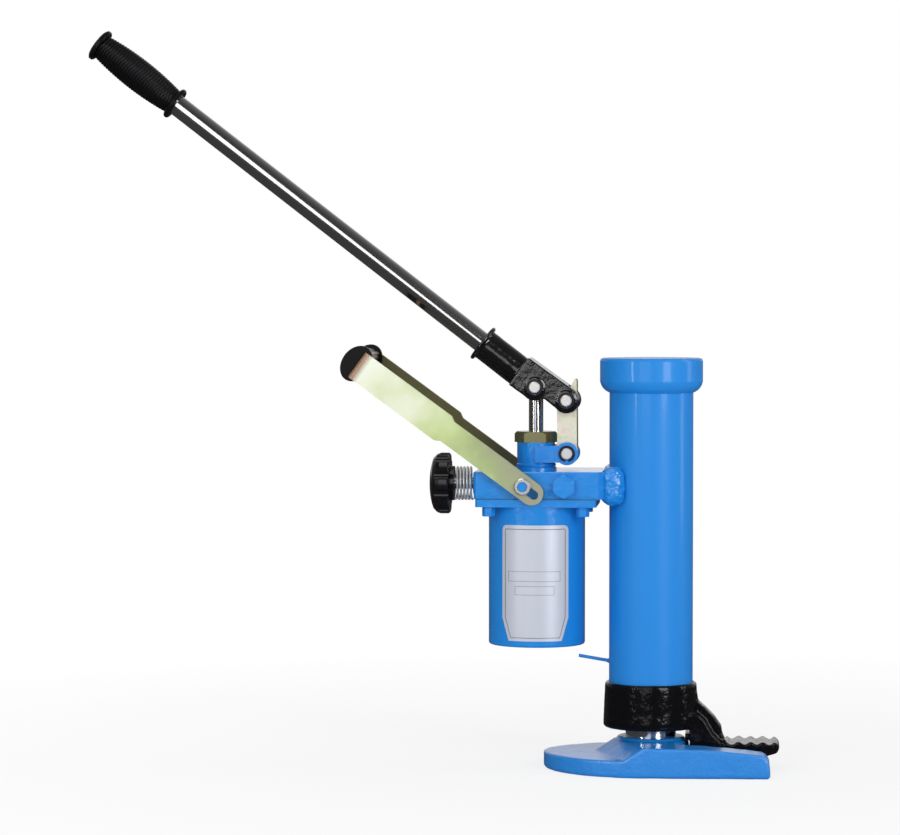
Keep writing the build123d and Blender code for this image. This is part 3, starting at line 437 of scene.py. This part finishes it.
def zinc_with_painted_shade(name, tints_and_sheen, painted_shade, roughness, metallic, waves, along, start):
    """Zinc plating whose colour runs through a list of colours: with the distance along a vector,
    where the run is a painted sheen, and with noise in so many waves per metre. Its sheared edges
    and the faces turned towards the jack's middle plane are painted darker, as painted shade."""
    material, shader = new_material(name, tints_and_sheen[0], roughness, metallic)
    tree = material.node_tree
    wander_span = (start - TINT_WANDER, start + TINT_WANDER)
    wander = rescale(tree, object_noise(material, waves, 3.0), NOISE_SPAN, wander_span, clamp=False)
    travel = reckon(tree, "ADD", distance_along(tree, along), wander)
    stops = [(number / (len(tints_and_sheen) - 1), tint_and_sheen) for number, tint_and_sheen in enumerate(tints_and_sheen)]
    tint_and_sheen = colour_ramp(tree, travel, stops)
    surface = tree.nodes.new("ShaderNodeTexCoord")
    place = tree.nodes.new("ShaderNodeSeparateXYZ")
    facing = tree.nodes.new("ShaderNodeSeparateXYZ")
    tree.links.new(surface.outputs["Object"], place.inputs["Vector"])
    tree.links.new(surface.outputs["Normal"], facing.inputs["Vector"])
    side = reckon(tree, "SIGN", place.outputs["Y"])
    outward = reckon(tree, "MULTIPLY", side, facing.outputs["Y"])
    # Sheared edges and faces turned towards the middle plane take the darker colour: painted shade.
    tint_with_painted_shade = cover_tint(tree, rescale(tree, outward, PAINTED_SHADE_FACING), painted_shade, tint_and_sheen)
    tree.links.new(tint_with_painted_shade, shader.inputs["Base Color"])
    add_bumps(material, shader, PLATE_GRAIN)
    return material


# The darker colour is painted shade on the plates' sheared edges and inner faces.
yellow_zinc_painted_shade = zinc_with_painted_shade(
    "yellow passivated zinc, painted shade",
    tints_and_sheen=[(0.44, 0.58, 0.20, 1.0), (0.82, 0.79, 0.64, 1.0), (0.78, 0.42, 0.46, 1.0)],
    painted_shade=(0.30, 0.24, 0.10, 1.0),
    roughness=0.32,
    metallic=0.12,
    waves=150.0,
    along=(0.0, 0.0, 0.0),
    start=0.5,
)
paint(yellow_zinc_painted_shade, "link_front", "link_back")
bright_zinc, bright_shader = new_material("bright zinc", (0.86, 0.85, 0.82, 1.0), 0.30, 0.55)
add_bumps(bright_zinc, bright_shader, ZINC_GRAIN)
paint(bright_zinc, "link_spacers")


# Pivot pins with their circlips: bright zinc pins through the lugs, the link and the piston's
# eye, with blackened spring rings snapped into their grooves.
paint(bright_zinc, "lug_pin", "link_pin", "piston_pin")
paint(spring_steel, "lug_pin_circlips", "lever_pin_circlips")


# Pump lever: a black-enamelled casting with two grainy cheeks and a smoother socket for the
# handle, whose mouth ends in a rounded bead.
SOCKET_ROOT = Vector((-0.1188, 0.0, 0.3558))
SOCKET_SLOPE = math.radians(37.75)
SOCKET_SKIN = 0.12
SKIN_CHANGE = 0.002
RIM_ALONG = 0.0409
RIM_RADIUS = 0.0157
RIM_STEPS = 56
BEAD_RADIUS = 0.0017
BEAD_SIDES = 12
lever_enamel = enamel(
    "black enamel on grainy casting",
    CAST_BLACK,
    [(220.0, 2.0, 0.0003), (600.0, 2.0, 0.00013)],
    roughness=0.16,
    coat=0.0,
    mirror=1.0,
)
outwards = Vector((-math.cos(SOCKET_SLOPE), 0.0, math.sin(SOCKET_SLOPE)))
socket_start = SOCKET_ROOT.dot(outwards)
lever_tree = lever_enamel.node_tree
grain = rescale(
    lever_tree,
    distance_along(lever_tree, outwards),
    (socket_start, socket_start + SKIN_CHANGE),
    (1.0, SOCKET_SKIN),
)
for node in lever_tree.nodes:
    if node.bl_idname == "ShaderNodeBump":
        lever_tree.links.new(grain, node.inputs["Strength"])
lever = cast_copy("lever_casting", grid=0.0007, rounding=5, lumps=0.0003, lump_size=0.006)
lever.data.materials.append(lever_enamel)

rim = bmesh.new()
bmesh.ops.create_circle(rim, cap_ends=False, segments=BEAD_SIDES, radius=BEAD_RADIUS)
bmesh.ops.translate(rim, verts=rim.verts, vec=(RIM_RADIUS, 0.0, 0.0))
bmesh.ops.spin(
    rim,
    geom=rim.verts[:] + rim.edges[:],
    cent=(0.0, 0.0, 0.0),
    axis=(0.0, 1.0, 0.0),
    angle=2 * math.pi,
    steps=RIM_STEPS,
    use_merge=True,
)
bmesh.ops.remove_doubles(rim, verts=rim.verts, dist=SAME_POINT)
tilt = Vector((0.0, 1.0, 0.0)).rotation_difference(outwards).to_matrix()
bmesh.ops.rotate(rim, verts=rim.verts, cent=(0.0, 0.0, 0.0), matrix=tilt)
bmesh.ops.translate(rim, verts=rim.verts, vec=SOCKET_ROOT + RIM_ALONG * outwards)
bmesh.ops.recalc_face_normals(rim, faces=rim.faces)
for face in rim.faces:
    face.smooth = True
fit_piece("socket_rim", rim, lever_enamel, "lever")


# Pump handle: a chromed steel tube that stands in the lever's socket, with a ribbed black
# rubber grip pushed over its upper end.
paint(chrome, "handle_tube")
paint(black_rubber, "handle_grip")


# Release knob: a fluted star grip, moulded in glossy black plastic and fixed on the release
# valve's spindle.
knob_plastic, _ = new_material("glossy black plastic", (0.006, 0.006, 0.007, 1.0), 0.18)
paint(knob_plastic, "release_knob")


# Return spring of the release valve: bright spring wire, wound open round the spindle
# between knob and block.
paint(bright_zinc, "knob_spring")


# Carrying strap: flat steel bar bent to a U, yellow-passivated, with a black rubber grip. Its
# colour runs from pale at the upper end to dark olive at the lower end, a painted reflection over
# the plating's tint, with brown painted shade on the bend and dark painted shade on the edges and
# inner faces. It is held by two studs with bright flanged bushes.
STRAP_RUN = (4.57, 0.0, -3.16)
STRAP_START = 2.28
STRAP_BEND = (-STRAP_START - 0.035, -STRAP_START - 0.005)
# Brown painted shade on the bend's rounded surface at the strap's upper end.
BEND_PAINTED_SHADE = (0.36, 0.22, 0.14, 1.0)
# The colour list runs pale to dark olive along the strap: a painted reflection over the plating's
# own tint. The darker colour is painted shade on edges and inner faces.
strap_zinc_painted_sheen = zinc_with_painted_shade(
    "yellow passivated strap, painted sheen and shade",
    tints_and_sheen=[
        (0.94, 0.97, 0.83, 1.0),
        (0.84, 0.89, 0.66, 1.0),
        (0.60, 0.72, 0.32, 1.0),
        (0.42, 0.50, 0.24, 1.0),
        (0.38, 0.39, 0.28, 1.0),
    ],
    painted_shade=(0.13, 0.12, 0.05, 1.0),
    roughness=0.34,
    metallic=0.25,
    waves=22.0,
    along=STRAP_RUN,
    start=STRAP_START,
)
strap_tree = strap_zinc_painted_sheen.node_tree
strap_colour = strap_tree.nodes["Principled BSDF"].inputs["Base Color"]
# Where the bend's painted shade gives way to the plated colour.
past_bend = rescale(strap_tree, distance_along(strap_tree, STRAP_RUN), STRAP_BEND)
plated_tint_and_sheen = strap_colour.links[0].from_socket
strap_tree.links.new(cover_tint(strap_tree, past_bend, BEND_PAINTED_SHADE, plated_tint_and_sheen), strap_colour)
paint(strap_zinc_painted_sheen, "carry_strap")
paint(black_rubber, "strap_grip")
bush_zinc, _ = new_material("bright zinc, turned", (0.80, 0.80, 0.80, 1.0), 0.26, 0.80)
paint(bush_zinc, "strap_bushes", "strap_spacers")
paint(smooth_enamel, "strap_studs")


# Floor: a plain pale sheet under the jack. The camera sees it white but for the jack's
# shadow, and the metal mirrors it dark.
FLOOR_HALF = 30.0
SHADOW_REACH = (0.2, 1.0)
SHADOW_GLOW = (0.80, 1.0)
MIRRORED_FLOOR = 0.045


def glow(tree, strength):
    """A white light shader."""
    emission = tree.nodes.new("ShaderNodeEmission")
    emission.inputs["Strength"].default_value = strength
    return emission.outputs["Emission"]


def mix_shaders(tree, share, first, second):
    """Two shaders, the second as far as the share goes."""
    mix = tree.nodes.new("ShaderNodeMixShader")
    tree.links.new(share, mix.inputs["Fac"])
    tree.links.new(first, mix.inputs[1])
    tree.links.new(second, mix.inputs[2])
    return mix.outputs["Shader"]


floor_shape = bmesh.new()
bmesh.ops.create_grid(floor_shape, x_segments=1, y_segments=1, size=FLOOR_HALF)
floor_mesh = bpy.data.meshes.new("floor")
floor_shape.to_mesh(floor_mesh)
floor_shape.free()
floor = bpy.data.objects.new("floor", floor_mesh)
bpy.context.scene.collection.objects.link(floor)
floor_material, floor_shader = new_material("pale floor", (0.92, 0.92, 0.92, 1.0), 0.9)
floor_tree = floor_material.node_tree
floor_ray = floor_tree.nodes.new("ShaderNodeLightPath").outputs
floor_place = floor_tree.nodes.new("ShaderNodeTexCoord")
floor_distance = floor_tree.nodes.new("ShaderNodeVectorMath")
floor_distance.operation = "LENGTH"
floor_tree.links.new(floor_place.outputs["Object"], floor_distance.inputs[0])
paleness = rescale(floor_tree, floor_distance.outputs["Value"], SHADOW_REACH, SHADOW_GLOW)
white_share = reckon(floor_tree, "MULTIPLY", floor_ray["Is Camera Ray"], paleness)
floor_plain = floor_shader.outputs["BSDF"]
floor_mirrored = glow(floor_tree, MIRRORED_FLOOR)
floor_lit = mix_shaders(floor_tree, floor_ray["Is Glossy Ray"], floor_plain, floor_mirrored)
floor_seen = mix_shaders(floor_tree, white_share, floor_lit, glow(floor_tree, 1.0))
floor_tree.links.new(floor_seen, floor_tree.nodes["Material Output"].inputs["Surface"])
floor_mesh.materials.append(floor_material)


# World: white to the camera. Metal mirrors a room that is dark on the camera's side and pale
# behind the jack, and everything else gets an even dim light.
ROOM_LEVELS = ((0.0, 0.02), (0.25, 0.05), (0.70, 0.14), (0.90, 0.40), (1.0, 0.95))
AMBIENT = 0.33


def background(tree, strength):
    """A white background shader."""
    shade = tree.nodes.new("ShaderNodeBackground")
    shade.inputs["Color"].default_value = (1.0, 1.0, 1.0, 1.0)
    shade.inputs["Strength"].default_value = strength
    return shade


world = bpy.data.worlds.new("studio")
bpy.context.scene.world = world
world.use_nodes = True
sky = world.node_tree
sky.nodes.clear()
direction = sky.nodes.new("ShaderNodeTexCoord")
split = sky.nodes.new("ShaderNodeSeparateXYZ")
sky.links.new(direction.outputs["Generated"], split.inputs["Vector"])
backness = rescale(sky, split.outputs["Y"], (-1.0, 1.0))
room_greys = [(position, (level, level, level, 1.0)) for position, level in ROOM_LEVELS]
room = background(sky, 1.0)
sky.links.new(colour_ramp(sky, backness, room_greys), room.inputs["Color"])
sky_ray = sky.nodes.new("ShaderNodeLightPath").outputs
shiny = reckon(sky, "MAXIMUM", sky_ray["Is Glossy Ray"], sky_ray["Is Transmission Ray"])
ambient = background(sky, AMBIENT).outputs["Background"]
sky_lit = mix_shaders(sky, shiny, ambient, room.outputs["Background"])
sky_white = background(sky, 1.0).outputs["Background"]
sky_seen = mix_shaders(sky, sky_ray["Is Camera Ray"], sky_lit, sky_white)
sky.links.new(sky_seen, sky.nodes.new("ShaderNodeOutputWorld").inputs["Surface"])


# Lamps: a large soft box in front to the right, a tall narrow strip in front to the left,
# one box on the right side, one overhead, and a wide weak one behind the camera.
LIT_POINT = Vector((-0.10, 0.0, 0.30))


def soft_box(name, place, size, power):
    """Rectangular area lamp that faces the jack."""
    lamp = bpy.data.lights.new(name, "AREA")
    lamp.shape = "RECTANGLE"
    lamp.size, lamp.size_y = size
    lamp.energy = power
    holder = bpy.data.objects.new(name, lamp)
    holder.location = place
    holder.rotation_euler = (Vector(place) - LIT_POINT).to_track_quat("Z", "Y").to_euler()
    bpy.context.scene.collection.objects.link(holder)


soft_box("front box", place=(1.7, -2.3, 1.1), size=(0.9, 1.8), power=36.0)
soft_box("left strip", place=(-1.95, -2.21, 1.13), size=(0.22, 1.9), power=17.0)
soft_box("right box", place=(2.5, 0.2, 1.0), size=(0.6, 2.0), power=10.0)
soft_box("top box", place=(-0.8, -0.3, 2.6), size=(1.8, 1.6), power=12.0)
soft_box("wide box", place=(-0.85, -3.9, 1.3), size=(1.9, 2.4), power=22.0)


# Camera: a long lens three metres away, five degrees round to the right of square-on and
# slightly above, as in the photograph.
AIM = Vector((-0.181, 0.0, 0.314))
DISTANCE = 3.06
TURN = math.radians(5.0)
DIP = math.radians(2.13)
FOCAL_LENGTH = 136.0
SENSOR_WIDTH = 36.0
lens = bpy.data.cameras.new("camera")
lens.lens = FOCAL_LENGTH
lens.sensor_width = SENSOR_WIDTH
camera = bpy.data.objects.new("camera", lens)
level_run = Vector((math.sin(TURN), -math.cos(TURN), 0.0))
backwards = math.cos(DIP) * level_run + Vector((0.0, 0.0, math.sin(DIP)))
camera.location = AIM + DISTANCE * backwards
camera.rotation_euler = (math.pi / 2 - DIP, 0.0, TURN)
bpy.context.scene.collection.objects.link(camera)
bpy.context.scene.camera = camera
bpy.context.scene.view_settings.view_transform = "Standard"
